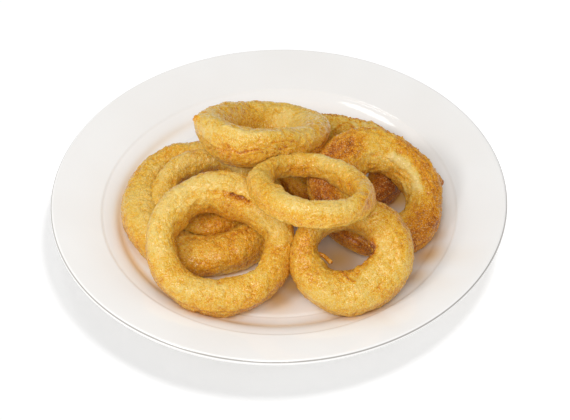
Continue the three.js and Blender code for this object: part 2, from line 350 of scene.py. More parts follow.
def crumb_zones(name, along, around):
    """Crumbs for each square metre."""
    ring = RINGS[name]
    total = np.zeros(along.shape)
    for half_width, density, path in CRUMBS.get(name, []):
        distance, _ = beside_path(ring, along, around, path)
        total += density * np.exp(-(distance / half_width) ** 2)
    return total


print("rings with crumbs:", sorted(CRUMBS))

# %% [markdown]
# ## The smooth swollen loop
#
# Under its crust a fried ring is soft and a little uneven: it swells where steam gathers and is
# thin where batter ran off. A torus from the menu would be too perfect, so each point is worked
# out: a squarish section, pushed out or in by three slow waves and by the bumps of the table.
# The result is a closed grid of quads, with what the crust needs kept at every point.

# %% Waves and swellings
# Slow waves of the batter: height, turns along the ring, turns around the strand, shift by seed.
WAVES = [(0.45, 2, 0, 1), (0.35, 3, 1, 2.1), (0.3, 5, -2, 3.7)]


def bumps_relief(ring, along, around):
    total = 0
    for at_along, at_around, reach, rise in ring["bumps"]:
        squared = ((wrapped(along - math.radians(at_along)) * ring["radius"]) ** 2
                   + (wrapped(around - math.radians(at_around)) * ring["width"]) ** 2)
        total = total + rise * np.exp(-squared / reach ** 2)
    return total


def waves_relief(ring, along, around):
    total = 0
    for rise, turns_along, turns_around, shift in WAVES:
        total = total + rise * np.sin(turns_along * along + turns_around * around
                                      + shift * ring["seed"])
    return total


print("waves stand", sum(wave[0] for wave in WAVES), "mm high at most")


# %% Points of the crust
def crust_points(ring, along, around, swell):
    """Points of the crust in the row frame, in millimetres."""
    cosine, sine = np.cos(around), np.sin(around)
    power = ring["square"]
    section = (np.abs(cosine) ** power + np.abs(sine) ** power) ** (-1 / power)
    relief = waves_relief(ring, along, around) + bumps_relief(ring, along, around) + swell
    thick = 1 + ring["heavy"] * np.cos(along - math.radians(ring["heavy_side"]))
    out = (ring["width"] * thick * section + relief) * cosine
    up = (ring["height"] * section + relief) * sine
    stretch = 1 + ring["oval"] * np.cos(2 * (along - math.radians(ring["oval_turn"])))
    reach = ring["radius"] * stretch + out + ring["flare"] * up
    points = np.stack([reach * np.cos(along), reach * np.sin(along), up], -1)
    turn = math.radians(ring["facing"])
    hinge = Vector((-math.sin(turn), math.cos(turn), 0))
    tilt = np.array(Matrix.Rotation(math.radians(ring["lean"]), 3, hinge))
    return points @ tilt.T + np.array(ring["at"])


print("a point of the top ring:", crust_points(RINGS["ring_top"], 0, 0, 0).round(1), "mm")


# %% A ring as a mesh
TOUCH_GAP = 0.3
WRINKLE_STRETCH = 5.0


def keep_value(mesh, label, values):
    """Stores one number or one vector for every point of a mesh."""
    vector = values.ndim == 3
    store = mesh.attributes.new(label, "FLOAT_VECTOR" if vector else "FLOAT", "POINT")
    store.data.foreach_set("vector" if vector else "value", values.reshape(-1).astype(np.float32))


def loop_mesh(name, mesh_name, steps, sides, swell=0.0):
    """One ring as a closed grid of quads, pressed flat where it would go through the plate."""
    ring = RINGS[name]
    along, around = np.meshgrid(np.arange(steps) * (2 * math.pi / steps),
                                np.arange(sides) * (2 * math.pi / sides), indexing="ij")
    height, brown_and_shade = marks_relief(name, along, around)
    points = crust_points(ring, along, around, swell + height).reshape(-1, 3)
    reach = np.hypot(points[:, 0], points[:, 1])
    rests_at = np.interp(reach, TOP_LINE[:, 0], TOP_LINE[:, 1]) + TOUCH_GAP
    points[:, 2] = np.maximum(points[:, 2], rests_at)
    here = np.arange(steps * sides).reshape(steps, sides)
    onward = np.roll(here, -1, 0)
    quads = np.stack([here, onward, np.roll(onward, -1, 1), np.roll(here, -1, 1)], -1)
    mesh = bpy.data.meshes.new(mesh_name)
    mesh.from_pydata((points * MM).tolist(), [], quads.reshape(-1, 4).tolist())
    # Browning with painted shade and light from the marks, kept for the material.
    keep_value(mesh, "browning_and_shade", brown_and_shade)
    keep_value(mesh, "crumbly", crumb_zones(name, along, around))
    # A place that runs slowly along the strand draws a pattern out into wrinkles.
    reach = ring["radius"] * MM / WRINKLE_STRETCH
    girth = wrapped(around - math.pi / 2) * ring["width"] * MM
    strand = np.stack([reach * np.cos(along), reach * np.sin(along), girth], -1)
    keep_value(mesh, "strand", strand)
    mesh.update()
    return mesh


def new_object(name, data):
    made = bpy.data.objects.new(name, data)
    bpy.context.scene.collection.objects.link(made)
    return made


print("gap between rings:", TOUCH_GAP, "mm")

# %% [markdown]
# ## Where rings lie on one another
#
# The soft crust gives way where two rings meet. Each ring gets a copy of the ones below it,
# swollen by a hair's breadth, cut out of it. A Boolean modifier does this, with the manifold
# solver, which is quick and never leaves an open edge.

# %% Loops with their beds
CRUST_STEP = 0.55
BED_STEPS, BED_SIDES = 160, 48


def settled(piece):
    """Applies what the modifiers make, and removes them."""
    graph = bpy.context.evaluated_depsgraph_get()
    mesh = bpy.data.meshes.new_from_object(piece.evaluated_get(graph))
    piece.modifiers.clear()
    piece.data = mesh
    mesh.name = piece.name
    return piece


def bedded_loop(name):
    ring = RINGS[name]
    steps = int(2 * math.pi * ring["radius"] / CRUST_STEP)
    sides = int(2 * math.pi * max(ring["width"], ring["height"]) / CRUST_STEP)
    loop = new_object(name + "_loop", loop_mesh(name, name + "_loop", steps, sides))
    beds = []
    for under in ring["rests"]:
        bed = new_object("bed", loop_mesh(under, "bed", BED_STEPS, BED_SIDES, TOUCH_GAP))
        cut = loop.modifiers.new("bed", "BOOLEAN")
        cut.operation, cut.object, cut.solver = "DIFFERENCE", bed, "MANIFOLD"
        beds.append(bed)
    settled(loop)
    for bed in beds:
        bpy.data.objects.remove(bed)
    print(name, len(loop.data.polygons), "faces after", len(beds), "beds")
    return loop


print("crust in steps of", CRUST_STEP, "mm")

# %% [markdown]
# ## The crust
#
# Hot oil blows bubbles in the batter and cooks it hard, so the crust is one even field that
# follows a rule: broad lumps, small round blisters, fine grain, and wrinkles along the strand.
# Brush strokes would be uneven, and a bump in the material would leave the outline smooth. So
# Geometry Nodes moves the points of every loop by the sum of four noises. The height of the fine
# ones is kept, so that the material paints the crests paler and the creases darker, which is
# painted shade. Crumbs are strewn last.

# %% Node helpers
def tree_of(name, inputs):
    """A node group on a mesh, with named inputs."""
    tree = bpy.data.node_groups.new(name, "GeometryNodeTree")
    tree.interface.new_socket("Geometry", in_out="INPUT", socket_type="NodeSocketGeometry")
    for label, kind, value in inputs:
        socket = tree.interface.new_socket(label, in_out="INPUT", socket_type="NodeSocket" + kind)
        if value is not None:
            socket.default_value = value
    tree.interface.new_socket("Geometry", in_out="OUTPUT", socket_type="NodeSocketGeometry")
    return tree


def add(tree, kind, links=None, **settings):
    """A node with its settings, its inputs linked or filled in."""
    node = tree.nodes.new(kind)
    for key, value in settings.items():
        setattr(node, key, value)
    for key, value in (links or {}).items():
        socket = node.inputs[key]
        if isinstance(value, bpy.types.NodeSocket):
            tree.links.new(value, socket)
        else:
            socket.default_value = value
    return node


def calc(tree, operation, first, second=0.0, third=0.0):
    node = add(tree, "ShaderNodeMath", {0: first, 1: second, 2: third}, operation=operation)
    return node.outputs[0]


def set_inputs(piece, tree, values):
    """A Geometry Nodes modifier with its inputs set by their identifiers."""
    modifier = piece.modifiers.new(tree.name, "NODES")
    modifier.node_group = tree
    keys = {s.name: s.identifier for s in tree.interface.items_tree
            if s.item_type == "SOCKET" and s.in_out == "INPUT"}
    for label, value in values.items():
        modifier[keys[label]] = value


print("node groups so far:", len(bpy.data.node_groups))


# %% Steps on a surface
def scaled(tree, vector, by):
    node = add(tree, "ShaderNodeVectorMath", {0: vector, "Scale": by}, operation="SCALE")
    return node.outputs[0]


def bent(tree, where, density, detail, reach):
    """Places pushed aside by a noise, so that a pattern read there loses its regular look."""
    push = add(tree, "ShaderNodeTexNoise", {"Vector": where, "Scale": density, "Detail": detail})
    aside = scaled(tree, push.outputs["Color"], reach)
    return add(tree, "ShaderNodeVectorMath", {0: where, 1: aside}, operation="ADD").outputs[0]


def kept(tree, surface, label, value):
    """The surface with a number kept at each point."""
    return add(tree, "GeometryNodeStoreNamedAttribute",
               {"Geometry": surface, "Name": label, "Value": value},
               data_type="FLOAT", domain="POINT").outputs[0]


def named(tree, label, kind):
    """What the surface keeps under a name."""
    return add(tree, "GeometryNodeInputNamedAttribute", {"Name": label}, data_type=kind).outputs[0]


def raised(tree, surface, rise):
    """The surface pushed outwards, or inwards where the rise is below zero."""
    normal = add(tree, "GeometryNodeInputNormal").outputs[0]
    return add(tree, "GeometryNodeSetPosition",
               {"Geometry": surface, "Offset": scaled(tree, normal, rise)}).outputs[0]


def finish_tree(tree, surface, material):
    """Ends a tree: every copy made real, smooth and with its material."""
    whole = add(tree, "GeometryNodeRealizeInstances", {"Geometry": surface})
    smooth = add(tree, "GeometryNodeSetShadeSmooth", {"Geometry": whole.outputs[0]})
    painted = add(tree, "GeometryNodeSetMaterial",
                  {"Geometry": smooth.outputs[0], "Material": material})
    add(tree, "NodeGroupOutput", {"Geometry": painted.outputs[0]})
    return tree


print("every tree ends in Realize Instances, Set Shade Smooth and Set Material")

# %% Noises that move the crust
BLISTER_BEND = 1.6
BLISTER_SLOPE = -3.0
BLISTER_TOP = 0.9


def field(tree, where, size, height, detail, rough):
    """A noise between minus height and height, with waves of the given size."""
    density = calc(tree, "DIVIDE", 1.0, size)
    waves = add(tree, "ShaderNodeTexNoise",
                {"Vector": where, "Scale": density, "Detail": detail, "Roughness": rough})
    centred = calc(tree, "SUBTRACT", waves.outputs[0], 0.5)
    return calc(tree, "MULTIPLY", calc(tree, "MULTIPLY", centred, 2.0), height)


def blisters(tree, where, size, height):
    """Round swellings with a crease between them, bent out of a regular pattern."""
    density = calc(tree, "DIVIDE", 1.0, size)
    places = bent(tree, where, density, 1.0, calc(tree, "MULTIPLY", size, BLISTER_BEND))
    cells = add(tree, "ShaderNodeTexVoronoi", {"Vector": places, "Scale": density})
    dome = calc(tree, "MULTIPLY", cells.outputs["Distance"], cells.outputs["Distance"])
    slope = calc(tree, "MULTIPLY_ADD", dome, BLISTER_SLOPE, BLISTER_TOP)
    return calc(tree, "MULTIPLY", slope, height)


print("a blister is highest at", BLISTER_TOP, "of its height")

# %% Crumbs of batter
CRUMB_BROWNING = 0.4
CRUMB_SMALLEST = (0.6, 0.6, 0.4)
CRUMB_LARGEST = (1.6, 1.3, 1.0)
KNOB_SIZE = 1.2
KNOB_HEIGHT = 0.9


def crumbs_on(tree, surface, size, seed):
    """Small rough balls where the surface asks for them."""
    strewn = add(tree, "GeometryNodeDistributePointsOnFaces",
                 {"Mesh": surface, "Density": named(tree, "crumbly", "FLOAT"), "Seed": seed},
                 distribute_method="RANDOM").outputs
    ball = add(tree, "GeometryNodeMeshIcoSphere", {"Radius": size, "Subdivisions": 2}).outputs[0]
    place = add(tree, "GeometryNodeInputPosition").outputs[0]
    knobs = field(tree, place, calc(tree, "MULTIPLY", size, KNOB_SIZE),
                  calc(tree, "MULTIPLY", size, KNOB_HEIGHT), 0.0, 0.5)
    crumb = kept(tree, raised(tree, ball, knobs), "browning_and_shade", CRUMB_BROWNING)
    sizes = add(tree, "FunctionNodeRandomValue",
                {"Min": CRUMB_SMALLEST, "Max": CRUMB_LARGEST, "Seed": seed},
                data_type="FLOAT_VECTOR")
    return add(tree, "GeometryNodeInstanceOnPoints",
               {"Points": strewn["Points"], "Instance": crumb,
                "Rotation": strewn["Rotation"], "Scale": sizes.outputs[0]}).outputs[0]


print("crumbs are", CRUMB_SMALLEST[0], "to", CRUMB_LARGEST[0], "times their size")


# %% The crust's node tree
SEED_SHIFT = 0.37


def crust_tree():
    tree = tree_of("fried crust", [
        ("Lump Height", "Float", 0.0009),
        ("Lump Size", "Float", 0.007),
        ("Blister Height", "Float", 0.0003),
        ("Blister Size", "Float", 0.0027),
        ("Grain Height", "Float", 0.0004),
        ("Grain Size", "Float", 0.0011),
        ("Wrinkle Height", "Float", 0.0002),
        ("Wrinkle Width", "Float", 0.0018),
        ("Crumb Size", "Float", 0.0006),
        ("Seed", "Int", 1),
        ("Batter", "Material", None),
    ])
    given = add(tree, "NodeGroupInput").outputs
    place = add(tree, "GeometryNodeInputPosition").outputs[0]
    shift = calc(tree, "MULTIPLY", given["Seed"], SEED_SHIFT)
    here = add(tree, "ShaderNodeVectorMath", {0: place, 1: shift}, operation="ADD").outputs[0]
    strand = named(tree, "strand", "FLOAT_VECTOR")
    lumps = field(tree, here, given["Lump Size"], given["Lump Height"], 1.0, 0.5)
    domes = blisters(tree, here, given["Blister Size"], given["Blister Height"])
    grain = field(tree, here, given["Grain Size"], given["Grain Height"], 1.0, 0.6)
    wrinkles = field(tree, strand, given["Wrinkle Width"], given["Wrinkle Height"], 1.0, 0.5)
    fine = calc(tree, "ADD", calc(tree, "ADD", domes, grain), wrinkles)
    depth = calc(tree, "ADD", given["Blister Height"], given["Grain Height"])
    # The fine relief is kept for the painted shade of creases and crests.
    loop = kept(tree, given["Geometry"], "relief", calc(tree, "DIVIDE", fine, depth))
    crust = raised(tree, loop, calc(tree, "ADD", lumps, fine))
    both = add(tree, "GeometryNodeJoinGeometry")
    for part in (crust, crumbs_on(tree, crust, given["Crumb Size"], given["Seed"])):
        tree.links.new(part, both.inputs[0])
    return finish_tree(tree, both.outputs[0], given["Batter"])


CRUST = crust_tree()
print("crust tree:", len(CRUST.nodes), "nodes")

# %% [markdown]
# ## What fried batter looks like
#
# The crust is golden, orange brown on the sides of the strand, partly from frying at the thin
# edges and partly as painted shade, with brown specks and fine dark veins between the blisters.
# Its crests are painted paler and its creases darker, which is painted shade, and pale specks in
# the colour are painted glints. Light sinks a little way in, and a film of oil gives small soft
# glints. A painted image would stretch on a bent strand, so the colours come from noises at
# several scales, read at the place itself, and from the kept relief and the kept browning and
# painted shade. The oil is a coat of its own with rounder beads than the crust below it.

# %% Shader helpers
def shader(name):
    material = bpy.data.materials.new(name)
    material.use_nodes = True
    tree = material.node_tree
    tree.nodes.clear()
    bsdf = add(tree, "ShaderNodeBsdfPrincipled")
    add(tree, "ShaderNodeOutputMaterial", {"Surface": bsdf.outputs[0]})
    return material, tree, bsdf


def linear(red, green, blue):
    """Shader colour of an sRGB colour that is given in 255ths."""
    def one(value):
        value /= 255
        return value / 12.92 if value <= 0.04045 else ((value + 0.055) / 1.055) ** 2.4
    return (one(red), one(green), one(blue), 1.0)


def set_sockets(bsdf, values):
    for label, value in values.items():
        bsdf.inputs[label].default_value = value


def noise(tree, scale, detail, rough):
    place = add(tree, "ShaderNodeTexCoord").outputs["Object"]
    return add(tree, "ShaderNodeTexNoise", {"Vector": place, "Scale": scale, "Detail": detail,
                                            "Roughness": rough}).outputs[0]


def ramp(tree, value, stops):
    node = add(tree, "ShaderNodeValToRGB", {0: value})
    line = node.color_ramp
    while len(line.elements) < len(stops):
        line.elements.new(0.5)
    for element, (at, colour) in zip(line.elements, stops):
        element.position, element.color = at, colour
    return node.outputs[0]


def spread(tree, value, low, high):
    """Stretches the values from low to high over 0 to 1."""
    return add(tree, "ShaderNodeMapRange", {0: value, 1: low, 2: high, 3: 0.0, 4: 1.0}).outputs[0]


def blend(tree, share, first, second):
    return add(tree, "ShaderNodeMix", {0: share, 6: first, 7: second}, data_type="RGBA",
               blend_type="MIX").outputs[2]


print("a mid tone in 255ths is", round(linear(128, 128, 128)[0], 3), "as light")

# %% Colours and scales of the batter
PALE = linear(247, 214, 128)
GOLD = linear(244, 192, 63)
AMBER = linear(236, 158, 24)
BROWN = linear(204, 117, 28)
DARK = linear(148, 76, 30)
GLINT = linear(255, 232, 170)
STOPS = [(0.1, PALE), (0.34, GOLD), (0.54, AMBER), (0.76, BROWN), (0.98, DARK)]
TONE_SCALE = 0.7
# Noises in the tone: how many to the metre, detail, roughness, and their share.
PATCHES, PATCH_SHARE = (55, 3, 0.55), 0.22
MOTTLE, MOTTLE_SHARE = (420, 2, 0.6), 0.12
SPECKS, SPECK_SHARE = (1900, 1, 0.6), 0.5
NOISE_LOW, NOISE_HIGH = 0.3, 0.7
# How strongly the kept relief paints crests paler and creases darker: painted shade.
RELIEF_SHADE_SHARE = -0.25
VEIN_CELLS, VEIN_WIDTH, VEIN_SHARE = 420, 0.14, 0.24
VEIN_BENDS, VEIN_REACH = 500, 0.004
VEINED_FROM, VEINED_TO = 0.35, 0.6
# Pale specks mixed into the colour are painted glints.
GLINT_NOISE, GLINT_SHARE = (1500, 1, 0.5), 0.45
GLINT_LOW, GLINT_HIGH = 0.56, 0.7
CREASE_TOP, BUMP_DEPTH = 0.3, 0.0007
OIL_BEADS, OIL_DEPTH = (900, 1, 0.5), 0.00035
print("tones of the crust:", len(STOPS))


# %% Batter material
def batter_material():
    material, tree, bsdf = shader("fried batter")
    relief = add(tree, "ShaderNodeAttribute", attribute_name="relief").outputs["Fac"]
    brown_and_shade = add(tree, "ShaderNodeAttribute", attribute_name="browning_and_shade").outputs["Fac"]
    patches, specks = noise(tree, *PATCHES), noise(tree, *SPECKS)
    place = add(tree, "ShaderNodeTexCoord").outputs["Object"]
    cells = add(tree, "ShaderNodeTexVoronoi",
                {"Vector": bent(tree, place, VEIN_BENDS, 2.0, VEIN_REACH), "Scale": VEIN_CELLS},
                feature="DISTANCE_TO_EDGE").outputs["Distance"]
    veined = calc(tree, "MULTIPLY", spread(tree, patches, VEINED_FROM, VEINED_TO), VEIN_SHARE)
    # Crests painted paler and creases darker from the kept relief: painted shade.
    tone = calc(tree, "MULTIPLY_ADD", relief, RELIEF_SHADE_SHARE, brown_and_shade)
    for values, share in ((patches, PATCH_SHARE), (noise(tree, *MOTTLE), MOTTLE_SHARE),
                          (specks, SPECK_SHARE)):
        values = spread(tree, values, NOISE_LOW, NOISE_HIGH)
        tone = calc(tree, "MULTIPLY_ADD", values, share, tone)
    tone = calc(tree, "MULTIPLY_ADD", spread(tree, cells, VEIN_WIDTH, 0.0), veined, tone)
    colour = ramp(tree, calc(tree, "MULTIPLY", tone, TONE_SCALE), STOPS)
    # Painted glints: pale specks in the colour.
    glints = spread(tree, noise(tree, *GLINT_NOISE), GLINT_LOW, GLINT_HIGH)
    colour = blend(tree, calc(tree, "MULTIPLY", glints, GLINT_SHARE), colour, GLINT)
    tree.links.new(colour, bsdf.inputs["Base Color"])
    set_sockets(bsdf, {
        "Roughness": 0.35, "Specular IOR Level": 0.08, "Coat Weight": 0.9, "Coat IOR": 1.4,
        "Coat Roughness": 0.16, "Subsurface Weight": 0.12, "Subsurface Radius": (1.0, 0.45, 0.1),
        "Subsurface Scale": 0.002})
    height = calc(tree, "ADD", calc(tree, "MINIMUM", cells, CREASE_TOP), specks)
    for label, rise, depth in (("Normal", height, BUMP_DEPTH),
                               ("Coat Normal", noise(tree, *OIL_BEADS), OIL_DEPTH)):
        bump = add(tree, "ShaderNodeBump", {"Strength": 1.0, "Distance": depth, "Height": rise})
        tree.links.new(bump.outputs[0], bsdf.inputs[label])
    return material


BATTER = batter_material()
print("batter:", len(BATTER.node_tree.nodes), "nodes")

# %% [markdown]
# ## Every ring, with its crust
#
# All eight are made alike, so one loop does it: the bedded loop, the crust over it, and the
# result made a plain mesh. Only the seed and the depth of the wrinkles differ, because the two
# thick rings on the right have shrunk more as they cooled.

# %% The fried rings
WRINKLED = {"ring_right": 0.0007, "ring_back_right": 0.0006}
pieces = {}
for name in RINGS:
    piece = bedded_loop(name)
    piece.name = name.replace("ring", "fried_ring")
    set_inputs(piece, CRUST, {"Seed": RINGS[name]["seed"], "Batter": BATTER,
                              "Wrinkle Height": WRINKLED.get(name, 0.0002)})
    pieces[name] = settled(piece)
    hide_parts(name)
    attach(piece, "root")
    print(piece.name, len(piece.data.polygons), "faces")

# %% [markdown]
# ## The curl of batter
#
# A thread of batter that dripped off the ring and fried by itself hangs in the hole of the front
# right ring. It could be modelled from a cylinder, but a thread follows a path, so it is a curve
# with a round profile whose radius falls off at both ends, and the crust's noise makes it knobbly.

# %% The curl's sizes: angles on its ring, and millimetres
CURL_RING = "ring_front_right"
CURL_ALONG = 178
CURL_AROUND = 180
CURL_TURN = 50
CURL_LENGTH = 8.0
CURL_RADIUS = 1.1
CURL_SAG = 1.4
CURL_KNOBS = 700
CURL_KNOB_HEIGHT = 0.0005
CURL_TIP = 0.25


def curl_path():
    """Start, middle and end of the curl, in metres."""
    ring = RINGS[CURL_RING]
    spot = np.radians([CURL_ALONG]), np.radians([CURL_AROUND])
    start = Vector(crust_points(ring, *spot, 0.0)[0])
    facing, turn = math.radians(ring["facing"]), math.radians(CURL_TURN)
    tilt = Matrix.Rotation(math.radians(ring["lean"]), 3, (-math.sin(facing), math.cos(facing), 0))
    onward = tilt @ Vector((math.sin(turn), -math.cos(turn), 0))
    aside = tilt @ Vector((math.cos(turn), math.sin(turn), 0))
    end = start + onward * CURL_LENGTH
    middle = (start + end) / 2 + aside * CURL_SAG
    return [point * MM for point in (start, middle, end)]


start, middle, end = curl_path()
print("curl from", [round(c, 4) for c in start], "to", [round(c, 4) for c in end])


# %% The curl
def curl_tree():
    tree = tree_of("curl of batter", [
        ("Start", "Vector", None),
        ("Middle", "Vector", None),
        ("End", "Vector", None),
        ("Radius", "Float", 0.001),
        ("Batter", "Material", None),
    ])
    given = add(tree, "NodeGroupInput").outputs
    path = add(tree, "GeometryNodeCurveQuadraticBezier",
               {"Resolution": 24, "Start": given["Start"], "Middle": given["Middle"],
                "End": given["End"]})
    share = add(tree, "GeometryNodeSplineParameter").outputs["Factor"]
    centred = calc(tree, "MULTIPLY_ADD", share, 2.0, -1.0)
    taper = calc(tree, "SUBTRACT", 1.0, calc(tree, "POWER", calc(tree, "ABSOLUTE", centred), 4.0))
    thick = add(tree, "GeometryNodeSetCurveRadius",
                {"Curve": path.outputs[0],
                 "Radius": calc(tree, "MULTIPLY_ADD", taper, 1 - CURL_TIP, CURL_TIP)})
    profile = add(tree, "GeometryNodeCurvePrimitiveCircle",
                  {"Resolution": 16, "Radius": given["Radius"]})
    thread = add(tree, "GeometryNodeCurveToMesh",
                 {"Curve": thick.outputs[0], "Profile Curve": profile.outputs[0],
                  "Fill Caps": True})
    place = add(tree, "GeometryNodeInputPosition").outputs[0]
    knobs = field(tree, place, 1 / CURL_KNOBS, CURL_KNOB_HEIGHT, 1.0, 0.5)
    brown_and_shade = kept(tree, raised(tree, thread.outputs[0], knobs), "browning_and_shade", CRUMB_BROWNING)
    return finish_tree(tree, brown_and_shade, given["Batter"])


curl = new_object("curl_of_batter", bpy.data.meshes.new("curl"))
set_inputs(curl, curl_tree(), {"Start": start, "Middle": middle, "End": end,
                               "Radius": CURL_RADIUS * MM, "Batter": BATTER})
settled(curl)
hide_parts(CURL_RING)
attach(curl, "root")
print("curl:", len(curl.data.polygons), "faces")

# %% [markdown]
# ## The plate
#
# A potter presses the section of a plate into a turning slab of clay. The same can be done here:
# the section is a line of points, and Geometry Nodes repeats it round the axis as the columns of
# a grid, then welds the seam. A spun surface from a screw modifier would do too, but the tree
# keeps the number of turns and the glaze as named inputs.

# %% The section
def plate_section():
    lip_middle = PLATE_HEIGHT - LIP_HALF
    rim = PLATE_RADIUS - LIP_HALF
    underside_start = (FOOT_OUTER + FOOT_SLANT, FOOT_HEIGHT)
    underside_end = (COVE_RADIUS + UNDER_EASE, COVE_TOP - WALL)
    lip = [(rim + LIP_HALF * math.cos(a), lip_middle + LIP_HALF * math.sin(a))
           for a in np.radians(np.arange(-90, 91, 15))]
    under = [(0.0, FOOT_HEIGHT), (FOOT_INNER - FOOT_SLANT, FOOT_HEIGHT), (FOOT_INNER, 0.0),
             (FOOT_OUTER, 0.0), underside_start]
    return np.vstack([under, lean_curve(underside_start, UNDER_BEND, underside_end), lip,
                      TOP_LINE[::-1][1:]])


def section_mesh():
    """The section as a line of points from the middle of the underside to the middle above."""
    section = plate_section()
    points = [(r * MM, 0, z * MM) for r, z in section]
    mesh = bpy.data.meshes.new("section")
    mesh.from_pydata(points, [(k, k + 1) for k in range(len(points) - 1)], [])
    return mesh


SECTION = section_mesh()
print("whole section:", len(SECTION.vertices), "points")

# %% The wheel
PLATE_TURNS = 256
WELD = 1e-6


def wheel_tree():
    tree = tree_of("turned on a wheel", [
        ("Turns", "Int", PLATE_TURNS),
        ("Glaze", "Material", None),
    ])
    given = add(tree, "NodeGroupInput").outputs
    count = add(tree, "GeometryNodeAttributeDomainSize",
                {"Geometry": given["Geometry"]}, component="MESH").outputs["Point Count"]
    columns = calc(tree, "ADD", given["Turns"], 1.0)
    sheet = add(tree, "GeometryNodeMeshGrid", {"Vertices X": columns, "Vertices Y": count})
    index = calc(tree, "ADD", add(tree, "GeometryNodeInputIndex").outputs[0], 0.5)
    column = calc(tree, "FLOOR", calc(tree, "DIVIDE", index, count))
    row = calc(tree, "FLOOR", calc(tree, "SUBTRACT", index, calc(tree, "MULTIPLY", column, count)))
    place = add(tree, "GeometryNodeInputPosition").outputs[0]
    outline = add(tree, "GeometryNodeSampleIndex",
                  {"Geometry": given["Geometry"], "Value": place, "Index": row},
                  data_type="FLOAT_VECTOR", domain="POINT")
    share = calc(tree, "DIVIDE", column, given["Turns"])
    turned = add(tree, "ShaderNodeVectorRotate",
                 {"Vector": outline.outputs[0], "Angle": calc(tree, "MULTIPLY", share, math.tau)},
                 rotation_type="Z_AXIS")
    shaped = add(tree, "GeometryNodeSetPosition",
                 {"Geometry": sheet.outputs[0], "Position": turned.outputs[0]})
    closed = add(tree, "GeometryNodeMergeByDistance",
                 {"Geometry": shaped.outputs[0], "Distance": WELD})
    return finish_tree(tree, closed.outputs[0], given["Glaze"])


WHEEL = wheel_tree()
print("wheel tree:", len(WHEEL.nodes), "nodes")

# %% [markdown]
# ## Painted warm shade on the plate
#
# Under and beside the rings the glaze lies in their soft shade and takes their orange light, and
# this is painted onto the plate as an orange tint, a number at each point of the plate. It comes
# from the distance to the nearest crust, which paints contact shadow, from a soft line round the
# cove, which paints shade and bounced orange light, and from a few pools of painted shadow, each
# with its place, its half width and its share.

# %% Where the painted warm shade is
CONTACT_SHADE_REACH = 2.2
COVE_SHADE_RADIUS = 85.0
COVE_SHADE_HALF = 2.2
COVE_SHADE_SHARE = 0.6
COVE_SHADE_SIDE = -140
CRUST_TURN, STRAND_TURN = 5, 20
# Pools of painted shadow: place, half width and share.
SHADE_POOLS = [(30, -38, 13, 0.85), (-2, -64, 9, 0.85), (6, -56, 9, 0.9), (64, 8, 11, 1.0),
           (80, -24, 6, 0.55), (76, -38, 8, 0.75), (68, -54, 7, 0.5)]


def distance_to_crust(points):
    """From each point to the nearest of a few thousand spots on the rings."""
    along, around = np.meshgrid(np.radians(np.arange(0, 360, CRUST_TURN)),
                                np.radians(np.arange(0, 360, STRAND_TURN)), indexing="ij")
    crust = np.vstack([crust_points(ring, along, around, 0.0).reshape(-1, 3)
                       for ring in RINGS.values()])
    near = KDTree(len(crust))
    for number, point in enumerate(crust):
        near.insert(point, number)
    near.balance()
    return np.array([near.find(point)[2] for point in points])


def warm_shade_on_plate(mesh):
    """Painted warm shade on each point of the plate, from 0 to 1."""
    points = np.array([vertex.co[:] for vertex in mesh.vertices]) / MM
    reach = np.hypot(points[:, 0], points[:, 1])
    bearing = np.arctan2(points[:, 1], points[:, 0]) - math.radians(COVE_SHADE_SIDE)
    # A soft line round the cove on the front left: painted shade and bounced orange light.
    line = COVE_SHADE_SHARE * np.exp(-((reach - COVE_SHADE_RADIUS) / COVE_SHADE_HALF) ** 2)
    line *= (0.5 + 0.5 * np.cos(bearing)) ** 2
    # Painted contact shadow near the crust.
    shade_amount = np.maximum(np.exp(-(distance_to_crust(points) / CONTACT_SHADE_REACH) ** 2), line)
    # Pools of painted shadow.
    for x, y, half_width, share in SHADE_POOLS:
        apart = np.hypot(points[:, 0] - x, points[:, 1] - y)
        shade_amount = np.maximum(shade_amount, share * np.exp(-(apart / half_width) ** 2))
    return shade_amount * (points[:, 2] > FLOOR_TOP - 1)


# The pools are painted shadow.
print("puddles of oil:", len(SHADE_POOLS))

# %% [markdown]
# ## The glaze
#
# The glaze is glass on white clay: very smooth, and a touch cloudy. A fine grey line of painted
# shade runs round the lip's outer edge, and the foot is left bare so that the plate does not stick
# in the kiln. Both are bands round the axis, so the material finds them by height and by distance
# from the axis instead of by extra pieces.

# %% The glaze material
GLAZE_CLOUDS = (18, 2, 0.5)
CLOUD_LOW, CLOUD_HIGH = 0.35, 0.65
GLAZE_WHITES = linear(247, 245, 242), linear(250, 249, 247)
WARM_SHADE_COLOUR, WARM_SHADE_SHARE = linear(230, 180, 80), 0.95
# A thin dark band at the lip's outer edge: painted shade.
LIP_SHADE, LIP_SHADE_SHARE = linear(128, 120, 112), 0.75
LIP_SHADE_RADIUS = PLATE_RADIUS - 0.55
LIP_SHADE_HEIGHT = PLATE_HEIGHT - 0.75
LIP_SHADE_HALF = 0.45
LIP_SHADE_FADES, LIP_SHADE_FULL = 1.2, 0.5
BARE_CLAY, BARE_TOP, BARE_FULL = linear(205, 196, 184), 0.0004, 0.0002
GLAZE_ROUGH, BARE_ROUGHER = 0.07, 0.5


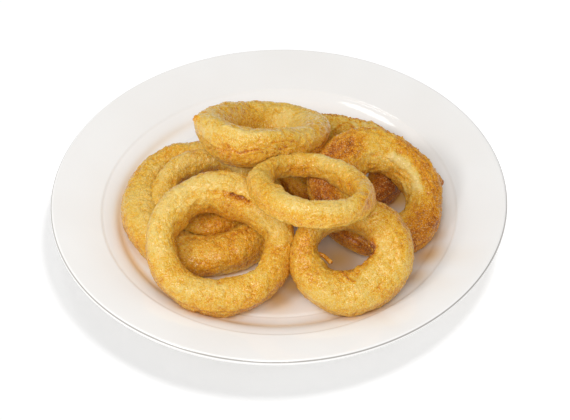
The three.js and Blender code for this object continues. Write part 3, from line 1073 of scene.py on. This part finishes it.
def glaze_material():
    material, tree, bsdf = shader("white glaze")
    clouds = spread(tree, noise(tree, *GLAZE_CLOUDS), CLOUD_LOW, CLOUD_HIGH)
    white = blend(tree, clouds, *GLAZE_WHITES)
    # The white takes the orange tint of the painted warm shade.
    shade_amount = add(tree, "ShaderNodeAttribute", attribute_name="shade_amount").outputs["Fac"]
    warm_shaded = blend(tree, calc(tree, "MULTIPLY", shade_amount, WARM_SHADE_SHARE), white, WARM_SHADE_COLOUR)
    place = add(tree, "ShaderNodeTexCoord").outputs["Object"]
    x, y, z = add(tree, "ShaderNodeSeparateXYZ", {0: place}).outputs

    def length(first, second):
        squares = calc(tree, "MULTIPLY_ADD", first, first, calc(tree, "MULTIPLY", second, second))
        return calc(tree, "SQRT", squares)

    # The band of painted shade round the lip's edge.
    out = calc(tree, "DIVIDE", calc(tree, "SUBTRACT", length(x, y), LIP_SHADE_RADIUS * MM),
               LIP_SHADE_HALF * MM)
    up = calc(tree, "DIVIDE", calc(tree, "SUBTRACT", z, LIP_SHADE_HEIGHT * MM),
              LIP_SHADE_HALF * MM)
    lip_shade = spread(tree, length(out, up), LIP_SHADE_FADES, LIP_SHADE_FULL)
    lip_shaded = blend(tree, calc(tree, "MULTIPLY", lip_shade, LIP_SHADE_SHARE), warm_shaded, LIP_SHADE)
    bare = spread(tree, z, BARE_TOP, BARE_FULL)
    tree.links.new(blend(tree, bare, lip_shaded, BARE_CLAY), bsdf.inputs["Base Color"])
    rough = calc(tree, "MULTIPLY_ADD", bare, BARE_ROUGHER, GLAZE_ROUGH)
    tree.links.new(rough, bsdf.inputs["Roughness"])
    bsdf.inputs["Specular IOR Level"].default_value = 0.5
    return material


GLAZE = glaze_material()
print("glaze:", len(GLAZE.node_tree.nodes), "nodes")

# %% The turned plate
plate = new_object("turned_plate", SECTION)
set_inputs(plate, WHEEL, {"Turns": PLATE_TURNS, "Glaze": GLAZE})
settled(plate)
keep_value(plate.data, "shade_amount", warm_shade_on_plate(plate.data))
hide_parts("plate")
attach(plate, "root")
print("plate:", len(plate.data.polygons), "faces")

# %% [markdown]
# ## The table
#
# The plate stands on a plain pale table, which is not a part of the object. A plane is enough.
# It glows very faintly, so that it stays nearly white at the far end, too.

# %% The table
TABLE_HALF = 3.0
CORNERS = [(-1, -1), (1, -1), (1, 1), (-1, 1)]
floor_mesh = bpy.data.meshes.new("table_top")
floor_mesh.from_pydata([(x * TABLE_HALF, y * TABLE_HALF, 0) for x, y in CORNERS], [],
                       [(0, 1, 2, 3)])
floor = new_object("table_top", floor_mesh)
table_paint, _, table_bsdf = shader("pale table")
set_sockets(table_bsdf, {
    "Base Color": (1.0, 1.0, 1.0, 1.0), "Roughness": 0.9, "Specular IOR Level": 0.1,
    "Emission Color": (1.0, 1.0, 1.0, 1.0), "Emission Strength": 0.18})
floor_mesh.materials.append(table_paint)
print("table:", 2 * TABLE_HALF, "m wide")

# %% [markdown]
# ## Light
#
# The room is almost white all round. A window in front on the left and a broad fill above the
# diner's side light the heap, a small lamp high up behind it makes the glaze shine, and a lamp
# of its own lights the table and draws the plate's soft shadow. Lamps that light only the table
# or only what stands on it are a studio's flags and screens. The room is left out of
# mirror reflections: a pale veil of it on the oil would turn the crust grey.

# %% The room and the lamps
ROOM_LIGHT = 0.6
LAMP_DISTANCE = 1.2
HEAP_MIDDLE = (0, 0, 0.03)

world = bpy.data.worlds.new("pale room")
bpy.context.scene.world = world
world.use_nodes = True
set_sockets(world.node_tree.nodes["Background"],
            {"Strength": ROOM_LIGHT, "Color": (1, 1, 1, 1)})
world.cycles_visibility.glossy = False


def soft_light(name, azimuth, elevation, size, power, lit=None):
    """A round lamp that looks at the heap; azimuth 0 is the diner's side, 90 the right."""
    lamp = bpy.data.lights.new(name, "AREA")
    lamp.shape, lamp.size, lamp.energy = "DISK", size, power
    holder = new_object(name, lamp)
    a, e = math.radians(azimuth), math.radians(elevation)
    away = Vector((math.sin(a) * math.cos(e), -math.cos(a) * math.cos(e), math.sin(e)))
    holder.location = Vector(HEAP_MIDDLE) + away * LAMP_DISTANCE
    holder.rotation_mode = "QUATERNION"
    holder.rotation_quaternion = away.to_track_quat("Z", "Y")
    if lit:
        holder.light_linking.receiver_collection = lit


def group_of(name, members):
    group = bpy.data.collections.new(name)
    for member in members:
        group.objects.link(member)
    return group


on_the_table = group_of("what stands on the table", [plate, curl, *pieces.values()])
soft_light("window", -50, 42, 0.32, 3.8, on_the_table)
soft_light("fill from the diner's side", -6, 48, 0.4, 3.9, on_the_table)
soft_light("overhead", 213, 64.5, 0.22, 0.7)
soft_light("light across the table", 110, 76, 0.3, 3.8, group_of("the table", [floor]))
bpy.context.scene.view_settings.view_transform = "Standard"
print("lamps:", len(bpy.data.lights))

# %% [markdown]
# ## The camera
#
# The diner looks down at the plate from a little way off. A long lens keeps the round rim an
# almost true ellipse. It could be dragged into place by eye, but a view that is given by angles
# and a distance can be made again.

# %% The camera: degrees, millimetres and pixels
VIEW_ELEVATION = 43.82
VIEW_ROLL = -0.99
VIEW_DISTANCE = 791.4
VIEW_ASIDE = 3.14
VIEW_DOWN = -11.56
FOCAL_PIXELS = 1500
PICTURE_WIDTH = 570

camera_data = bpy.data.cameras.new("diner")
camera = new_object("diner", camera_data)
camera_data.sensor_fit = "HORIZONTAL"
camera_data.sensor_width = 36
camera_data.lens = FOCAL_PIXELS / PICTURE_WIDTH * camera_data.sensor_width
rise, roll = math.radians(VIEW_ELEVATION), math.radians(VIEW_ROLL)
back = Vector((0, -math.cos(rise), math.sin(rise)))
side = Vector((1, 0, 0))
upward = back.cross(side)
camera_x = side * math.cos(roll) + upward * math.sin(roll)
camera_y = upward * math.cos(roll) - side * math.sin(roll)
camera.matrix_world = Matrix((camera_x, camera_y, back)).transposed().to_4x4()
look_at = Vector((0, 0, PLATE_HEIGHT))
camera.location = (look_at + back * VIEW_DISTANCE + side * VIEW_ASIDE + upward * VIEW_DOWN) * MM
bpy.context.scene.camera = camera
print("camera at", [round(c, 4) for c in camera.location])
